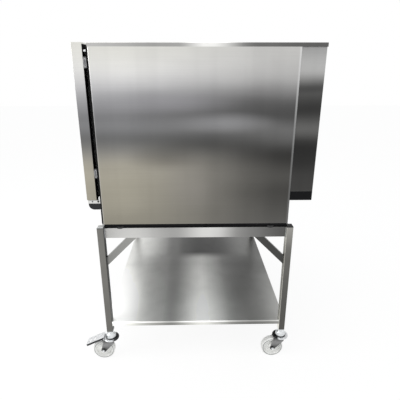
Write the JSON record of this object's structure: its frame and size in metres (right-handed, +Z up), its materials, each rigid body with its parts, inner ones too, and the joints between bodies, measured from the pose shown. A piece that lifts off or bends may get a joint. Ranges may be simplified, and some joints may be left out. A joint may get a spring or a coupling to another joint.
{
  "type": "combi oven on wheeled stand",
  "caption": "Stainless combi oven with a side-hinged glass door and control panel, standing on an open tubular stand with a shelf and swivel castors.",
  "frame": {"origin": "on the floor under the middle of the stand", "axes": "+Z up, front faces -Y, +X is the oven's right side seen from the front"},
  "size_m": [1.115, 1.125, 1.5635],
  "materials": {
    "panel_steel": "satin",
    "stand_steel": "satin",
    "chamber_steel": "polished",
    "castor_zinc": "satin",
    "castor_nylon": "satin",
    "black_plastic": "satin",
    "black_paint": "satin",
    "grey_tray": "satin",
    "door_glass": "gloss",
    "black_glass": "gloss",
    "lamp_glass": "gloss",
    "seal_rubber": "matte",
    "wool": "matte",
    "motor_alloy": "satin",
    "inlet_brass": "satin"
  },
  "bodies": {
    "oven_and_stand": {"stand_legs": "stand_steel", "leg_caps": "black_plastic", "side_rails": "stand_steel", "cross_rails": "stand_steel", "corner_braces": "stand_steel", "shelf": "stand_steel", "castor_stems": "castor_zinc", "oven_feet": "black_plastic", "base_frame": "black_paint", "floor_pan": "black_paint", "right_side_panel": "panel_steel", "left_side_panel": "panel_steel", "top_cover": "panel_steel", "rear_panel": "panel_steel", "rear_housing": "panel_steel", "rear_skirt": "black_paint", "front_frame": "panel_steel", "edge_trim": "seal_rubber", "chamber_shell": "chamber_steel", "insulation": "wool", "door_gasket": "seal_rubber", "rack_left": "chamber_steel", "rack_right": "chamber_steel", "air_baffle": "chamber_steel", "fan_motor": "motor_alloy", "heating_coil": "castor_zinc", "steam_nozzle": "chamber_steel", "chamber_lamp": "lamp_glass", "floor_strainer": "chamber_steel", "drain_pipe": "stand_steel", "body_hinge_leaves": "castor_zinc", "hinge_pins": "castor_zinc", "latch_stud": "castor_zinc", "control_fascia": "panel_steel", "display_pane": "black_glass", "drip_gutter": "panel_steel", "water_inlets": "inlet_brass", "cable_gland": "black_plastic", "exhaust_stub": "chamber_steel"},
    "door": {"door_frame": "panel_steel", "outer_glass": "door_glass", "inner_glass": "door_glass", "door_hinge_leaves": "castor_zinc", "handle_rose": "castor_zinc"},
    "handle": {"handle_lever": "black_plastic", "latch_cam": "castor_zinc"},
    "selector": {"selector_knob": "black_plastic"},
    "button": {"power_button": "black_plastic"},
    "fan": {"fan_wheel": "chamber_steel"},
    "tray": {"drip_tray": "grey_tray"},
    "castor_front_right": {"castor_fork_front_right": "castor_zinc"},
    "wheel_front_right": {"castor_wheel_front_right": "castor_nylon"},
    "brake_front_right": {"brake_pedal_front_right": "castor_zinc"},
    "castor_front_left": {"castor_fork_front_left": "castor_zinc"},
    "wheel_front_left": {"castor_wheel_front_left": "castor_nylon"},
    "brake_front_left": {"brake_pedal_front_left": "castor_zinc"},
    "castor_rear_right": {"castor_fork_rear_right": "castor_zinc"},
    "wheel_rear_right": {"castor_wheel_rear_right": "castor_nylon"},
    "castor_rear_left": {"castor_fork_rear_left": "castor_zinc"},
    "wheel_rear_left": {"castor_wheel_rear_left": "castor_nylon"}
  },
  "joints": [
    {"name": "door_hinge", "type": "hinge", "parent": "oven_and_stand", "child": "door", "pos_m": [0.527, -0.43525, 1.23], "axis": [0, 0, 1], "range_deg": [0, 120]},
    {"name": "handle_turn", "type": "hinge", "parent": "door", "child": "handle", "pos_m": [-0.322, -0.485, 1.18], "axis": [0, -1, 0], "range_deg": [0, 35]},
    {"name": "selector_turn", "type": "hinge", "parent": "oven_and_stand", "child": "selector", "pos_m": [-0.442, -0.485, 1.08], "axis": [0, -1, 0], "continuous": true},
    {"name": "button_press", "type": "slide", "parent": "oven_and_stand", "child": "button", "axis": [0, 1, 0], "range_m": [0, 0.003], "stiffness_N_per_m": 400, "springref_m": -0.001},
    {"name": "fan_spin", "type": "hinge", "parent": "oven_and_stand", "child": "fan", "pos_m": [0.0775, 0.3, 1.18], "axis": [0, 1, 0], "continuous": true},
    {"name": "drip_tray_pull", "type": "slide", "parent": "oven_and_stand", "child": "tray", "axis": [0, -1, 0], "range_m": [0, 0.12]},
    {"name": "swivel_front_right", "type": "hinge", "parent": "oven_and_stand", "child": "castor_front_right", "pos_m": [0.5175, -0.44, 0.12], "axis": [0, 0, 1], "continuous": true},
    {"name": "roll_front_right", "type": "hinge", "parent": "castor_front_right", "child": "wheel_front_right", "pos_m": [0.5175, -0.48, 0.055], "axis": [1, 0, 0], "continuous": true},
    {"name": "brake_front_right", "type": "hinge", "parent": "castor_front_right", "child": "brake_front_right", "pos_m": [0.5175, -0.486, 0.12], "axis": [1, 0, 0], "range_deg": [-10, 0]},
    {"name": "swivel_front_left", "type": "hinge", "parent": "oven_and_stand", "child": "castor_front_left", "pos_m": [-0.5175, -0.44, 0.12], "axis": [0, 0, 1], "continuous": true},
    {"name": "roll_front_left", "type": "hinge", "parent": "castor_front_left", "child": "wheel_front_left", "pos_m": [-0.48218, -0.42122, 0.055], "axis": [-0.4695, 0.8829, 0], "continuous": true},
    {"name": "brake_front_left", "type": "hinge", "parent": "castor_front_left", "child": "brake_front_left", "pos_m": [-0.47688, -0.4184, 0.12], "axis": [-0.4695, 0.8829, 0], "range_deg": [-10, 0]},
    {"name": "swivel_rear_right", "type": "hinge", "parent": "oven_and_stand", "child": "castor_rear_right", "pos_m": [0.5175, 0.44, 0.12], "axis": [0, 0, 1], "continuous": true},
    {"name": "roll_rear_right", "type": "hinge", "parent": "castor_rear_right", "child": "wheel_rear_right", "pos_m": [0.5175, 0.4, 0.055], "axis": [1, 0, 0], "continuous": true},
    {"name": "swivel_rear_left", "type": "hinge", "parent": "oven_and_stand", "child": "castor_rear_left", "pos_m": [-0.5175, 0.44, 0.12], "axis": [0, 0, 1], "continuous": true},
    {"name": "roll_rear_left", "type": "hinge", "parent": "castor_rear_left", "child": "wheel_rear_left", "pos_m": [-0.5175, 0.4, 0.055], "axis": [1, 0, 0], "continuous": true}
  ]
}
